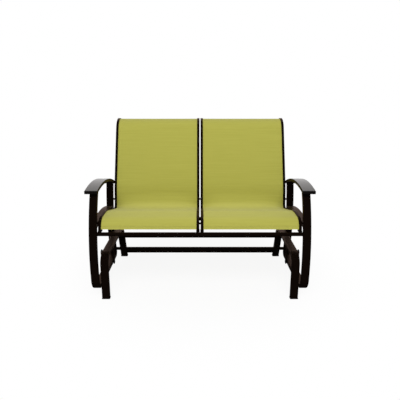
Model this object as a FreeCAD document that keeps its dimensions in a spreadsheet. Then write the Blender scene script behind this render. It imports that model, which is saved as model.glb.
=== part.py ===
# Two-seat glider bench for a patio or porch. Two fabric slings hang between four bent rails, the rails are
# carried by two tubular side frames with arms, and the whole seat swings on four links below a standing base.
#
# Frame: +Z is up, the bench faces -Y and +X is on the right of someone who looks at its front. Left and right
# in the names are that person's. The origin is on the floor, below the middle of the bench.
# The side shape is drawn once, in a plane along the bench's depth, and each piece takes its width along X.
import FreeCAD
import Part
import Sketcher
import math
import os
from types import SimpleNamespace

Vector = FreeCAD.Vector

# Driving sizes, in millimetres and degrees. Depths (y) and heights (z) are those of the side drawing.
SIZES = [
    ("origin_y", 13.1, "depth of the frame's origin in the side drawing"),
    # Widths across the bench, from the middle outwards
    ("centre_gap", 7, "gap between the two inner sling rails"),
    ("rail_width", 16, "sling rail across the bench"),
    ("sling_width", 527, "open width between the rails of one sling"),
    ("rail_gap", 7, "gap between the outer sling rail and the side frame"),
    ("frame_gap", 10.5, "gap between the base frame and the side frame, where the links hang"),
    # Frame tube
    ("tube_width", 44, "frame tube across the bench"),
    ("tube_depth", 25, "frame tube in the side drawing"),
    ("tube_bevel", 3, "broken corner of the frame tube"),
    ("weld_gap", 0.15, "fit-up gap where one tube is coped to another"),
    # Base frame
    ("pivot_height", 251.2, "height of the upper pivots and of the base frame's top rail"),
    ("front_foot_y", -394, "front leg at the floor"),
    ("base_knee_y", -380, "front leg where it meets the top rail"),
    ("base_rear_y", 97, "rear leg where it meets the top rail"),
    ("rear_foot_y", 188, "rear leg at the floor"),
    ("base_knee_radius", 55, "bend of the front knee"),
    ("base_rear_radius", 90, "bend at the rear leg"),
    ("base_bar_radius", 13.5, "base stretcher"),
    ("base_upper_bar_z", 176, "upper base stretcher"),
    ("base_lower_bar_z", 43.3, "lower base stretcher"),
    ("glide_thickness", 5, "foot glide below the leg"),
    ("glide_lip", 1, "foot glide beyond the tube"),
    ("glide_plug", 22, "foot glide inside the leg"),
    ("leg_wall", 2, "wall of the leg round the plug"),
    ("glide_play", 0.3, "play of the plug in the leg"),
    # Links and pivots
    ("link_length", 197, "link between its two pivots"),
    ("front_pivot_y", -318, "front pair of links"),
    ("rear_pivot_y", -24, "rear pair of links"),
    ("link_radius", 16, "half the width of a link, and its round ends"),
    ("link_thickness", 4.5, "link"),
    ("bushing_radius", 7, "bushing, and its seat in the link"),
    ("pivot_radius", 4, "pivot bolt"),
    ("pivot_play", 0.05, "radial play of the bushing on its bolt"),
    ("hole_play", 0.1, "radial play of a bolt in a tube"),
    ("hole_spare", 1, "bolt hole beyond the bolt's end"),
    ("link_play", 0.3, "side play of a link"),
    ("pivot_head_radius", 8, "hexagonal head of a pivot bolt, over its corners"),
    ("pivot_head", 2.4, "height of a pivot bolt's head"),
    ("pivot_grip", 18, "pivot bolt in the frame, from the face of its tube"),
    # Side frame: front post, lower rail and rear post in one bent tube
    ("front_post_y", -395, "front post where it stands upright"),
    ("front_post_bow_z", 399, "corner of the front post's bow"),
    ("front_post_bow_radius", 900, "bow of the front post"),
    ("front_post_top_y", -250, "front post's run, beyond the arm"),
    ("front_post_top_z", 650, "front post's run, beyond the arm"),
    ("frame_front_radius", 60, "bend from the front post to the lower rail"),
    ("frame_rear_radius", 20, "bend from the lower rail to the rear post"),
    ("rear_post_foot_y", 98, "rear post at the lower rail"),
    ("rear_post_bow_y", 49, "corner of the rear post's bow"),
    ("rear_post_bow_z", 326, "corner of the rear post's bow"),
    ("rear_post_bow_radius", 850, "bow of the rear post"),
    ("rear_post_top_y", 127.4, "rear post's run, beyond the arm"),
    ("rear_post_top_z", 575, "rear post's run, beyond the arm"),
    # Arched side rail between the posts
    ("side_rail_z", 425, "side rail at its level front part"),
    ("side_rail_bow_y", -32, "corner of the side rail's arch"),
    ("side_rail_bow_radius", 690, "arch of the side rail"),
    ("side_rail_front_y", -355, "start of the side rail, inside the front post"),
    ("side_rail_rear_y", 83, "end of the side rail, inside the rear post"),
    ("side_rail_rear_z", 391.7, "end of the side rail, inside the rear post"),
    # Arm
    ("arm_width", 72, "arm across the bench"),
    ("arm_thickness", 17, "arm"),
    ("arm_edge", 7, "rounded upper edges and broken lower edges of the arm"),
    ("arm_offset", 0.5, "arm's inner edge outside the outer sling rail"),
    ("arm_front_y", -318, "front end of the arm"),
    ("arm_front_z", 606, "front end of the arm"),
    ("arm_bow_y", -79, "corner of the arm's bow"),
    ("arm_bow_z", 649, "corner of the arm's bow"),
    ("arm_straight", 12.8, "straight front end of the arm, before its bow"),
    ("arm_rear_y", 140, "rear end of the arm"),
    ("arm_rear_z", 550.5, "rear end of the arm"),
    ("arm_cap", 5, "plastic cap on an arm's end"),
    # Seat stretchers
    ("front_bar_radius", 11, "front stretcher"),
    ("seat_bar_radius", 10.5, "middle and rear stretchers"),
    ("front_bar_y", -364, "front stretcher"),
    ("front_bar_z", 380, "front stretcher"),
    ("middle_bar_y", -240, "middle stretcher"),
    ("rear_bar_y", 86, "rear stretcher"),
    ("rear_bar_z", 98.5, "rear stretcher"),
    # Sling rail: the line of its upper face, from the front boot over the seat and up the back
    ("rail_depth", 28, "sling rail from its upper face to its lower one"),
    ("rail_front_y", -366, "upright front end of the rail"),
    ("crest_z", 465.5, "level front part of the seat"),
    ("front_bend_radius", 68, "rounded front of the seat"),
    ("crest_y", -195, "corner behind the level part"),
    ("crest_radius", 300, "bend behind the level part"),
    ("seat_rear_y", 82, "corner between seat and back"),
    ("seat_rear_z", 390.5, "corner between seat and back"),
    ("seat_rear_radius", 26, "bend between seat and back"),
    ("lumbar_y", 109.3, "corner at the small of the back"),
    ("lumbar_z", 520, "corner at the small of the back"),
    ("lumbar_radius", 300, "bend at the small of the back"),
    ("roll_y", 325, "corner of the rolled top"),
    ("roll_z", 996.6, "corner of the rolled top"),
    ("roll_radius", 98, "rolled top of the back"),
    ("rail_end_y", 431, "rear end of the rail"),
    ("rail_end_z", 922.4, "rear end of the rail"),
    # Groove of the sling rail, and the fabric in it
    ("groove_height", 2.6, "groove that holds the fabric"),
    ("groove_depth", 6, "groove from the rail's side"),
    ("groove_down", 3.2, "upper edge of the groove below the rail's upper face"),
    ("fabric_thickness", 1.2, "sling fabric"),
    ("fabric_grip", 5.5, "fabric inside the groove"),
    ("hem_z", 404.5, "front hem of the sling"),
    ("hem_rear", 14, "rail beyond the rear end of the sling"),
    # Boots, caps, spreaders and spacers
    ("boot_wall", 1.5, "boot round the front end of a rail"),
    ("boot_height", 9, "boot"),
    ("boot_sole", 4, "boot below the rail's end"),
    ("fit_play", 0.1, "play of a boot"),
    ("rail_cap", 3, "cap on the rear end of a rail"),
    ("rail_cap_bevel", 1.5, "broken corner of a rail's cap"),
    ("spreader_width", 25, "spreader along the sling"),
    ("spreader_thickness", 12, "spreader across the sling"),
    ("spreader_wall", 1.6, "wall of a spreader"),
    ("spreader_depth", 17, "spreader's middle below the rail's upper face"),
    ("seat_spreader_reach", 60, "seat spreader from the corner between seat and back"),
    ("back_spreader_reach", 250, "back spreader from the small of the back"),
    ("top_spreader_reach", 20, "top spreader from the rear end of the rail"),
    ("spacer_radius", 6, "hexagonal spacer beside a rail, over its corners"),
    ("front_spacer_y", -343, "front spacer"),
    ("front_spacer_z", 436, "front spacer"),
    ("rear_spacer_y", 99.6, "rear spacer"),
    ("rear_spacer_z", 446, "rear spacer"),
]


# A size that knows its number and the sheet expression that gives it
class Size:
    def __init__(self, value, text):
        self.value = value
        self.text = text

    def __add__(self, other):
        other = sized(other)
        return Size(self.value + other.value, f"({self.text} + {other.text})")

    def __sub__(self, other):
        other = sized(other)
        return Size(self.value - other.value, f"({self.text} - {other.text})")

    def __mul__(self, other):
        other = sized(other)
        return Size(self.value * other.value, f"({self.text} * {other.text})")

    def __truediv__(self, other):
        other = sized(other)
        return Size(self.value / other.value, f"({self.text} / {other.text})")

    def __neg__(self):
        return Size(-self.value, f"(0 - {self.text})")

    def __radd__(self, other):
        return sized(other) + self

    def __rsub__(self, other):
        return sized(other) - self

    def __rmul__(self, other):
        return sized(other) * self


def sized(number):
    return number if isinstance(number, Size) else Size(number, f"({number})")


def root(size):
    return Size(math.sqrt(size.value), f"sqrt({size.text})")


def lean_of(start, end):
    """The angle of a run from upright, towards +Y."""
    across = end[0] - start[0]
    up = end[1] - start[1]
    degrees = math.degrees(math.atan(across.value / up.value))
    angle = Size(degrees, f"(atan({across.text} / {up.text}) / (1 deg))")
    return angle if up.value > 0 else angle + 180


doc = FreeCAD.newDocument("GliderBench")
sheet = doc.addObject("Spreadsheet::Sheet", "Sizes")
for row, (alias, value, meaning) in enumerate(SIZES, 1):
    sheet.set(f"A{row}", alias)
    sheet.set(f"B{row}", str(value))
    sheet.setAlias(f"B{row}", alias)
    sheet.set(f"C{row}", meaning)
doc.recompute()
s = SimpleNamespace(**{alias: Size(value, f"Sizes.{alias}") for alias, value, meaning in SIZES})

# Widths that follow from the driving ones
inner_rail_x = s.centre_gap / 2 + s.rail_width / 2
sling_x = s.centre_gap / 2 + s.rail_width + s.sling_width / 2
outer_rail_x = inner_rail_x + s.rail_width + s.sling_width
rail_face_x = outer_rail_x + s.rail_width / 2
post_face_x = rail_face_x + s.rail_gap
side_frame_x = post_face_x + s.tube_width / 2
base_face_x = post_face_x - s.frame_gap
base_frame_x = base_face_x - s.tube_width / 2
arm_x = rail_face_x + s.arm_offset + s.arm_width / 2
link_face_x = base_face_x + (s.frame_gap - s.link_thickness) / 2
link_outer_x = link_face_x + s.link_thickness
lower_pivot_z = s.pivot_height - s.link_length
PIVOT_DEPTHS = {"front": s.front_pivot_y, "rear": s.rear_pivot_y}
SIDES = {"left": -1, "right": 1}
nodes = []


# Objects of the document
def node(thing, label):
    """Gives a finished sub-part the name that its file has."""
    thing.Label = label
    nodes.append(thing)
    return thing


def bind(thing, place, size):
    thing.setExpression(place, size.text)


def place(thing, x=None, y=None, z=None):
    """Puts a sub-part across the bench, and moves the side drawing's zero to the frame's origin."""
    bind(thing, "Placement.Base.x", sized(0) if x is None else x)
    bind(thing, "Placement.Base.y", -s.origin_y if y is None else y - s.origin_y)
    bind(thing, "Placement.Base.z", sized(0) if z is None else z)


def new_body(name, x=None, y=None, z=None):
    body = doc.addObject("PartDesign::Body", name)
    place(body, x, y, z)
    return body


def new_sketch(body, name, role, y=None, z=None, lean=None):
    """A sketch on a plane of the body, moved to a point of the side drawing and leant from upright."""
    sketch = body.newObject("Sketcher::SketchObject", name)
    plane = [each for each in body.Origin.OriginFeatures if each.Role == role][0]
    sketch.AttachmentSupport = [(plane, "")]
    sketch.MapMode = "FlatFace"
    if y is not None:
        turn = FreeCAD.Rotation(Vector(-1, 0, 0), lean.value) if lean else FreeCAD.Rotation()
        sketch.AttachmentOffset = FreeCAD.Placement(Vector(0, y.value, z.value), turn)
        bind(sketch, "AttachmentOffset.Base.y", y)
        bind(sketch, "AttachmentOffset.Base.z", z)
    if lean:
        bind(sketch, "AttachmentOffset.Rotation.Angle", lean)
    return sketch


def fix(sketch, kind, where, size, name):
    """Adds one dimension to a sketch and ties it to the sheet."""
    number = sketch.addConstraint(Sketcher.Constraint(kind, *where, size.value))
    sketch.renameConstraint(number, name)
    bind(sketch, f"Constraints.{name}", size)


def fix_point(sketch, where, across, up, name):
    fix(sketch, "DistanceX", (-1, 1, *where), across, f"{name}_across")
    fix(sketch, "DistanceY", (-1, 1, *where), up, f"{name}_up")


def draw_run(sketch, corners, closed=False, name="run"):
    """Straight runs through the corners, with an arc at each corner that has a radius."""
    points = [Vector(across.value, up.value, 0) for across, up, radius in corners]
    count = len(points)
    enter = list(points)
    leave = list(points)
    arcs = {}
    for i, (across, up, radius) in enumerate(corners):
        if radius is None:
            continue
        back = (points[i - 1] - points[i]).normalize()
        ahead = (points[(i + 1) % count] - points[i]).normalize()
        half = back.getAngle(ahead) / 2
        enter[i] = points[i] + back * (radius.value / math.tan(half))
        leave[i] = points[i] + ahead * (radius.value / math.tan(half))
        centre = points[i] + (back + ahead).normalize() * (radius.value / math.sin(half))
        left_turn = ahead.cross(back).z > 0
        first, last = (enter[i], leave[i]) if left_turn else (leave[i], enter[i])
        begin = math.atan2(first.y - centre.y, first.x - centre.x)
        end = math.atan2(last.y - centre.y, last.x - centre.x)
        circle = Part.Circle(centre, Vector(0, 0, 1), radius.value)
        arcs[i] = (Part.ArcOfCircle(circle, begin, end if end > begin else end + 2 * math.pi), left_turn)
    first_run = sketch.GeometryCount
    runs = count if closed else count - 1
    for i in range(runs):
        sketch.addGeometry(Part.LineSegment(leave[i], enter[(i + 1) % count]), False)
    for i, (across, up, radius) in enumerate(corners):
        run_in = first_run + (i - 1) % runs
        run_out = first_run + i % runs
        label = f"{name}{i}"
        if i in arcs:
            arc, left_turn = arcs[i]
            bend = sketch.addGeometry(arc, False)
            sketch.addConstraint(Sketcher.Constraint("Tangent", run_in, 2, bend, 1 if left_turn else 2))
            sketch.addConstraint(Sketcher.Constraint("Tangent", run_out, 1, bend, 2 if left_turn else 1))
            corner = sketch.addGeometry(Part.Point(points[i]), True)
            sketch.addConstraint(Sketcher.Constraint("PointOnObject", corner, 1, run_in))
            sketch.addConstraint(Sketcher.Constraint("PointOnObject", corner, 1, run_out))
            fix(sketch, "Radius", (bend,), radius, f"{label}_radius")
            fix_point(sketch, (corner, 1), across, up, label)
        elif closed or 0 < i < count - 1:
            sketch.addConstraint(Sketcher.Constraint("Coincident", run_in, 2, run_out, 1))
            fix_point(sketch, (run_out, 1), across, up, label)
        elif i == 0:
            fix_point(sketch, (run_out, 1), across, up, label)
        else:
            fix_point(sketch, (run_in, 2), across, up, label)
    return sketch


def draw_box(sketch, width, low, high, bevel=None, upper_facets=1, name="box"):
    """A rectangle about the sketch's upright axis. A bevel breaks its corners with one facet each. More facets
    round the upper corners, and their ends lie on the true round."""
    half = width / 2
    if bevel is None:
        corners = [(-half, low), (half, low), (half, high), (-half, high)]
    else:
        corners = []
        for across, up, first in ((-1, -1, 180), (1, -1, 270), (1, 1, 0), (-1, 1, 90)):
            middle = (half - bevel) * across, (high - bevel if up > 0 else low + bevel)
            facets = upper_facets if up > 0 else 1
            for step in range(facets + 1):
                turn = math.radians(first + 90 * step / facets)
                corners.append((middle[0] + bevel * round(math.cos(turn), 6),
                                middle[1] + bevel * round(math.sin(turn), 6)))
    return draw_run(sketch, [(across, up, None) for across, up in corners], closed=True, name=name)


def draw_circle(sketch, across, up, radius, name="circle"):
    circle = Part.Circle(Vector(across.value, up.value, 0), Vector(0, 0, 1), radius.value)
    number = sketch.addGeometry(circle, False)
    fix_point(sketch, (number, 3), across, up, name)
    fix(sketch, "Radius", (number,), radius, f"{name}_radius")
    return sketch


def draw_slot(sketch, across, low, high, radius):
    """A long hole or plate with round ends, one above the other."""
    ends = []
    for up, begin, name in ((high, 0, "upper"), (low, math.pi, "lower")):
        circle = Part.Circle(Vector(across.value, up.value, 0), Vector(0, 0, 1), radius.value)
        end = sketch.addGeometry(Part.ArcOfCircle(circle, begin, begin + math.pi), False)
        fix_point(sketch, (end, 3), across, up, name)
        fix(sketch, "Radius", (end,), radius, f"{name}_radius")
        ends.append(end)
    upper, lower = ends
    for side, top_point, bottom_point in ((1, 1, 2), (-1, 2, 1)):
        x = across.value + side * radius.value
        edge = sketch.addGeometry(Part.LineSegment(Vector(x, high.value, 0), Vector(x, low.value, 0)), False)
        sketch.addConstraint(Sketcher.Constraint("Tangent", edge, 1, upper, top_point))
        sketch.addConstraint(Sketcher.Constraint("Tangent", edge, 2, lower, bottom_point))


def pipe(body, kind, section, path, name, refine=True):
    """A section carried along a path, added to the body or taken from it."""
    doc.recompute()
    before = body.Shape.Volume if kind == "PartDesign::SubtractivePipe" else None
    feature = body.newObject(kind, name)
    feature.Refine = refine
    feature.Profile = section
    feature.Spine = (path, [f"Edge{number + 1}" for number in range(len(path.Shape.Edges))])
    doc.recompute()
    if before is not None and feature.Shape.Volume >= before:
        raise RuntimeError(f"{body.Name}: {name} removes nothing")
    return feature


def sweep(body, section, path, refine=True):
    return pipe(body, "PartDesign::AdditivePipe", section, path, "Tube", refine)


def slant(feature, slope):
    """Makes a pad or a pocket follow a leg, which moves back by its slope for each unit of height."""
    feature.UseCustomVector = True
    feature.Direction = Vector(0, slope.value, 1)
    bind(feature, "Direction.y", slope)


def pad(body, sketch, length, both_sides=False):
    feature = body.newObject("PartDesign::Pad", "Pad")
    feature.Profile = sketch
    feature.Midplane = both_sides
    bind(feature, "Length", length)
    return feature


def cut(body, sketch, length, reverse=False, refine=True, slope=None):
    """Removes the sketch's outline from the body, and makes sure that something went."""
    doc.recompute()
    before = body.Shape.Volume
    feature = body.newObject("PartDesign::Pocket", "Cut")
    feature.Refine = refine
    feature.Profile = sketch
    feature.Reversed = reverse
    bind(feature, "Length", length)
    if slope is not None:
        slant(feature, slope)
    doc.recompute()
    if feature.Shape.Volume >= before:
        raise RuntimeError(f"{body.Name}: a cut removes nothing")
    return feature


def group(label, pieces):
    """Several equal solids that share one name."""
    compound = doc.addObject("Part::Compound", label)
    compound.Links = pieces
    return node(compound, label)


def rod(name, x, y, z, length, radius):
    """A round bar along +X from a point."""
    bar = doc.addObject("Part::Cylinder", name)
    bar.Placement = FreeCAD.Placement(Vector(), FreeCAD.Rotation(Vector(0, 1, 0), 90))
    place(bar, x, y, z)
    bind(bar, "Height", length)
    bind(bar, "Radius", radius)
    return bar


def ring(name, x, y, z, length, radius, bore):
    result = doc.addObject("Part::Cut", name)
    result.Base = rod(f"{name}_outside", x, y, z, length, radius)
    result.Tool = rod(f"{name}_bore", x, y, z, length, bore)
    return result


def hexagon(name, x, y, z, length, radius):
    bar = doc.addObject("Part::Prism", name)
    bar.Polygon = 6
    bar.Placement = FreeCAD.Placement(Vector(), FreeCAD.Rotation(Vector(0, 1, 0), 90))
    place(bar, x, y, z)
    bind(bar, "Height", length)
    bind(bar, "Circumradius", radius)
    return bar


def bolt(name, side, head_x, y, z, reach):
    """A pivot bolt with a hexagonal head. Its shank runs from the head towards the middle of the bench by a
    positive reach and outwards by a negative one."""
    head = hexagon(f"{name}_head", span(head_x, s.pivot_head, side), y, z, s.pivot_head, s.pivot_head_radius)
    inwards = reach.value > 0
    start = head_x - reach if inwards else head_x
    length = reach + s.pivot_head if inwards else -reach
    shank = rod(f"{name}_shank", span(start, length, side), y, z, length, s.pivot_radius)
    fused = doc.addObject("Part::MultiFuse", name)
    fused.Shapes = [head, shank]
    fused.Refine = True
    return fused


def span(start, length, side):
    """The lower end along X of a stretch that starts at a distance from the middle of the bench."""
    return start if side > 0 else -(start + length)


def beside(start, end, reach, depth):
    """A point at a reach along the run from start to end, and at a depth below it."""
    across = end[0] - start[0]
    up = end[1] - start[1]
    length = root(across * across + up * up)
    y = start[0] + (across * reach + up * depth) / length
    z = start[1] + (up * reach - across * depth) / length
    return y, z


def bend_after(start, corner, end, straight):
    """The radius of the bend at a corner that starts after a straight length of the run towards it."""
    in_y, in_z = corner[0] - start[0], corner[1] - start[1]
    out_y, out_z = end[0] - corner[0], end[1] - corner[1]
    in_length = root(in_y * in_y + in_z * in_z)
    out_length = root(out_y * out_y + out_z * out_z)
    turn_over_length = (in_z * out_y - in_y * out_z) / (in_length * out_length - in_y * out_y - in_z * out_z)
    return (in_length - straight) * turn_over_length


# Base frame: one bent tube on each side, from the front foot over the level top rail to the rear foot.
# The legs run on below the floor line in the drawing, and are sawn level where the foot glides start.
front_slope = (s.base_knee_y - s.front_foot_y) / s.pivot_height
rear_slope = (s.rear_foot_y - s.base_rear_y) / s.pivot_height
front_lean = lean_of((s.front_foot_y, sized(0)), (s.base_knee_y, s.pivot_height))
FEET = {"front": (s.front_foot_y, front_slope), "rear": (s.rear_foot_y, -rear_slope)}


def make_base_frame(side_name, side):
    spare = s.glide_plug
    body = new_body(f"{side_name}_base_frame", base_frame_x * side)
    start = (s.front_foot_y - front_slope * spare, -spare)
    path = draw_run(new_sketch(body, "Line", "YZ_Plane"), [
        (start[0], start[1], None),
        (s.base_knee_y, s.pivot_height, s.base_knee_radius),
        (s.base_rear_y, s.pivot_height, s.base_rear_radius),
        (s.rear_foot_y + rear_slope * spare, -spare, None),
    ])
    section = new_sketch(body, "Section", "XY_Plane", start[0], start[1], front_lean)
    draw_tube_section(section)
    sweep(body, section, path)
    saw = new_sketch(body, "Saw", "XY_Plane", sized(0), s.glide_thickness, None)
    draw_box(saw, s.tube_width * 2, s.front_foot_y - s.tube_depth * 2, s.rear_foot_y + s.tube_depth * 2)
    cut(body, saw, s.glide_thickness + spare * 2)
    for name, (foot_y, slope) in FEET.items():
        socket = new_sketch(body, f"{name}_socket", "XY_Plane", foot_y + slope * s.glide_thickness,
                            s.glide_thickness, None)
        inside = (s.tube_depth / 2 - s.leg_wall) * root(slope * slope + 1)
        draw_box(socket, s.tube_width - s.leg_wall * 2, -inside, inside)
        cut(body, socket, s.glide_plug + s.hole_spare, slope=slope)
    drill_for_pivots(body, side, s.pivot_height)
    return node(body, f"{side_name}_base_frame")


def draw_tube_section(section):
    half = s.tube_depth / 2
    draw_box(section, s.tube_width, -half, half, s.tube_bevel)


def drill_for_pivots(body, face_side, height):
    """Blind bolt holes from the face of a frame tube that lies beside the links."""
    half = s.tube_width / 2
    holes = new_sketch(body, "Holes", "YZ_Plane")
    holes.AttachmentOffset = FreeCAD.Placement(Vector(0, 0, half.value * face_side), FreeCAD.Rotation())
    bind(holes, "AttachmentOffset.Base.z", half * face_side)
    for name, depth in PIVOT_DEPTHS.items():
        draw_circle(holes, depth, height, s.pivot_radius + s.hole_play, name)
    cut(body, holes, s.pivot_grip + s.hole_spare, reverse=face_side < 0)


for side_name, side in SIDES.items():
    make_base_frame(side_name, side)


# Stretchers: round bars that butt against the inner faces of the frames they join
def make_stretcher(label, y, z, face_x, radius):
    body = new_body(label)
    section = new_sketch(body, "Section", "YZ_Plane")
    draw_circle(section, y, z, radius)
    pad(body, section, face_x * 2, both_sides=True)
    return node(body, label)


def rear_leg_y(height):
    return s.rear_foot_y - rear_slope * height


base_inner_x = base_face_x - s.tube_width
make_stretcher("base_upper_stretcher", rear_leg_y(s.base_upper_bar_z), s.base_upper_bar_z, base_inner_x,
               s.base_bar_radius)
make_stretcher("base_lower_stretcher", rear_leg_y(s.base_lower_bar_z), s.base_lower_bar_z, base_inner_x,
               s.base_bar_radius)


# Foot glides: a flat plastic foot below each leg, with a plug that slants with the tube
def make_glide(name, x, foot_y, slope):
    stretch = root(slope * slope + 1)
    sole_y = foot_y + slope * s.glide_thickness
    body = new_body(name, x)
    sole = new_sketch(body, "Sole", "XY_Plane", sole_y, sized(0), None)
    half = s.tube_depth * stretch / 2
    draw_box(sole, s.tube_width + s.glide_lip * 2, -half - s.glide_lip, half + s.glide_lip, s.tube_bevel)
    pad(body, sole, s.glide_thickness)
    plug = new_sketch(body, "Plug", "XY_Plane", sole_y, s.glide_thickness, None)
    inside = (s.tube_depth / 2 - s.leg_wall) * stretch - s.glide_play
    draw_box(plug, (s.tube_width / 2 - s.leg_wall - s.glide_play) * 2, -inside, inside)
    slant(pad(body, plug, s.glide_plug), slope)
    return body


for end, (foot_y, slope) in FEET.items():
    glides = [make_glide(f"{side_name}_{end}_glide", base_frame_x * side, foot_y, slope)
              for side_name, side in SIDES.items()]
    group(f"{end}_foot_glides", glides)


# Glide links: flat bars with round ends that hang beside the base frame. A plastic bushing in each end keeps
# the link off the tube beside it. The upper one turns on a bolt of the base, the lower one on one of the seat.
def make_link(label, side, depth):
    body = new_body(label, link_face_x * side)
    plate = new_sketch(body, "Plate", "YZ_Plane")
    draw_slot(plate, depth, lower_pivot_z, s.pivot_height, s.link_radius)
    draw_circle(plate, depth, s.pivot_height, s.bushing_radius, "upper_seat")
    draw_circle(plate, depth, lower_pivot_z, s.bushing_radius, "lower_seat")
    feature = pad(body, plate, s.link_thickness)
    feature.Reversed = side < 0
    return node(body, label)


bushing_length = link_outer_x - base_face_x - s.link_play
upper_bushing_x = base_face_x + s.link_play
lower_bushing_x = link_face_x
upper_head_x = link_outer_x + s.link_play
lower_head_x = link_face_x - s.link_play - s.pivot_head
upper_bolts = []
lower_bolts = []
for end, depth in PIVOT_DEPTHS.items():
    for side_name, side in SIDES.items():
        label = f"{end}_{side_name}"
        make_link(f"{label}_link", side, depth)
        bore = s.pivot_radius + s.pivot_play
        group(f"{label}_bushings", [
            ring(f"{label}_{level}_bushing", span(start, bushing_length, side), depth, z, bushing_length,
                 s.bushing_radius, bore)
            for level, start, z in (("upper", upper_bushing_x, s.pivot_height),
                                    ("lower", lower_bushing_x, lower_pivot_z))])
        upper_bolts.append(bolt(f"{label}_upper_bolt", side, upper_head_x, depth, s.pivot_height,
                                upper_head_x - base_face_x + s.pivot_grip))
        lower_bolts.append(bolt(f"{label}_lower_bolt", side, lower_head_x, depth, lower_pivot_z,
                                lower_head_x - post_face_x - s.pivot_grip))
group("upper_pivot_bolts", upper_bolts)
group("lower_pivot_bolts", lower_bolts)


# Arm: a flat extrusion with rounded upper edges, bowed along the bench's depth
arm_front = (s.arm_front_y, s.arm_front_z)
arm_bow = (s.arm_bow_y, s.arm_bow_z)
arm_rear = (s.arm_rear_y, s.arm_rear_z)
arm_half = s.arm_thickness / 2
arm_bow_radius = bend_after(arm_front, arm_bow, arm_rear, s.arm_straight)


def draw_arm_line(body, name="ArmLine"):
    return draw_run(new_sketch(body, name, "YZ_Plane"), [
        (*arm_front, None),
        (*arm_bow, arm_bow_radius),
        (*arm_rear, None),
    ])


# Side frame: front post, lower rail and rear post bent from one tube. Both tops are coped to the arm.
def draw_side_frame_line(body, name="FrameLine"):
    return draw_run(new_sketch(body, name, "YZ_Plane"), [
        (s.front_post_top_y, s.front_post_top_z, None),
        (s.front_post_y, s.front_post_bow_z, s.front_post_bow_radius),
        (s.front_post_y, lower_pivot_z, s.frame_front_radius),
        (s.rear_post_foot_y, lower_pivot_z, s.frame_rear_radius),
        (s.rear_post_bow_y, s.rear_post_bow_z, s.rear_post_bow_radius),
        (s.rear_post_top_y, s.rear_post_top_z, None),
    ])


def new_frame_section(body, name):
    lean = lean_of((s.front_post_y, s.front_post_bow_z), (s.front_post_top_y, s.front_post_top_z))
    return new_sketch(body, name, "XY_Plane", s.front_post_top_y, s.front_post_top_z, lean)


def make_side_frame(side_name, side):
    body = new_body(f"{side_name}_side_frame", side_frame_x * side)
    section = new_frame_section(body, "Section")
    draw_tube_section(section)
    sweep(body, section, draw_side_frame_line(body))
    above = new_sketch(body, "AboveArm", "XY_Plane", *arm_front, lean_of(arm_front, arm_bow))
    draw_box(above, s.tube_width * 2, -(s.front_post_top_z - s.arm_front_z) * 2, arm_half + s.weld_gap)
    pipe(body, "PartDesign::SubtractivePipe", above, draw_arm_line(body), "Cope")
    drill_for_pivots(body, -side, lower_pivot_z)
    return node(body, f"{side_name}_side_frame")


# Side rail: the same tube, level behind the front post and arched down to the rear one, coped to both
def make_side_rail(side_name, side):
    body = new_body(f"{side_name}_side_rail", side_frame_x * side)
    section = new_sketch(body, "Section", "XY_Plane", s.side_rail_front_y, s.side_rail_z, sized(90))
    draw_tube_section(section)
    path = draw_run(new_sketch(body, "Line", "YZ_Plane"), [
        (s.side_rail_front_y, s.side_rail_z, None),
        (s.side_rail_bow_y, s.side_rail_z, s.side_rail_bow_radius),
        (s.side_rail_rear_y, s.side_rail_rear_z, None),
    ])
    sweep(body, section, path)
    envelope = new_frame_section(body, "PostOutline")
    half = s.tube_depth / 2 + s.weld_gap
    draw_box(envelope, s.tube_width * 2, -half, half)
    pipe(body, "PartDesign::SubtractivePipe", envelope, draw_side_frame_line(body), "Cope")
    return node(body, f"{side_name}_side_rail")


def make_arm(side_name, side):
    body = new_body(f"{side_name}_arm", arm_x * side)
    section = new_sketch(body, "Section", "XY_Plane", *arm_front, lean_of(arm_front, arm_bow))
    draw_box(section, s.arm_width, -arm_half, arm_half, s.arm_edge, upper_facets=2)
    sweep(body, section, draw_arm_line(body))
    return node(body, f"{side_name}_arm")


def make_arm_cap(name, side, end, inwards):
    """A plastic cap on an arm's end: a plate of the arm's outline."""
    body = new_body(name, arm_x * side)
    lean = lean_of(end, inwards)
    section = new_sketch(body, "Section", "XY_Plane", *end, lean)
    draw_box(section, s.arm_width, -arm_half, arm_half, s.arm_edge, upper_facets=2)
    feature = pad(body, section, s.arm_cap)
    feature.Reversed = True
    return body


for side_name, side in SIDES.items():
    make_side_frame(side_name, side)
    make_side_rail(side_name, side)
    make_arm(side_name, side)
    group(f"{side_name}_arm_caps", [
        make_arm_cap(f"{side_name}_arm_front_cap", side, arm_front, arm_bow),
        make_arm_cap(f"{side_name}_arm_rear_cap", side, arm_rear, arm_bow)])

# Seat stretchers. The middle one lies below the level part of the sling rails and carries them.
make_stretcher("front_stretcher", s.front_bar_y, s.front_bar_z, post_face_x, s.front_bar_radius)
make_stretcher("middle_stretcher", s.middle_bar_y, s.crest_z - s.rail_depth - s.seat_bar_radius, post_face_x,
               s.seat_bar_radius)
make_stretcher("rear_stretcher", s.rear_bar_y, s.rear_bar_z, post_face_x, s.seat_bar_radius)

# Sling rail: an extrusion with a groove along its fabric side, bent to the profile of seat and back
rail_start_z = s.front_bar_z + s.front_bar_radius + s.boot_sole
crest_corner = (s.crest_y, s.crest_z)
seat_corner = (s.seat_rear_y, s.seat_rear_z)
lumbar_corner = (s.lumbar_y, s.lumbar_z)
roll_corner = (s.roll_y, s.roll_z)
rail_end = (s.rail_end_y, s.rail_end_z)


def draw_sling_line(body, start_z, end):
    return draw_run(new_sketch(body, "Line", "YZ_Plane"), [
        (s.rail_front_y, start_z, None),
        (s.rail_front_y, s.crest_z, s.front_bend_radius),
        (*crest_corner, s.crest_radius),
        (*seat_corner, s.seat_rear_radius),
        (*lumbar_corner, s.lumbar_radius),
        (*roll_corner, s.roll_radius),
        (*end, None),
    ])


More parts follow.
